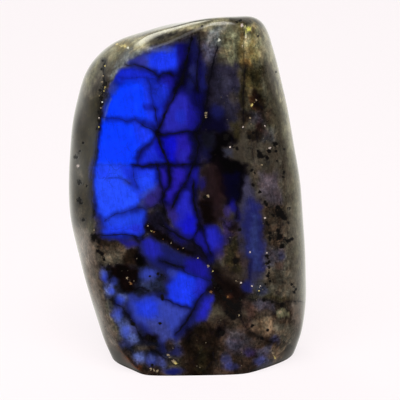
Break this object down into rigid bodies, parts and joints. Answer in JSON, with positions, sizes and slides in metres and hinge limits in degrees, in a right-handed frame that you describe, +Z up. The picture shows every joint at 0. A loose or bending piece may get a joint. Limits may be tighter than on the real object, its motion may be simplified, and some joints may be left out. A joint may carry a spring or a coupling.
{
  "type": "polished labradorite freeform",
  "caption": "Free-standing polished labradorite stone with a flat sawn base, soft ground facets and blue flash.",
  "frame": {"origin": "centre of the stone's box, on the plane of the flat sawn base", "axes": "+Z up along the stone's height, +X to the right and +Y to the back as seen from the face with the blue flash"},
  "size_m": [0.0742, 0.0433, 0.1091],
  "materials": {
    "labradorite": "polished"
  },
  "bodies": {
    "root": {"stone": "labradorite"}
  },
  "joints": []
}
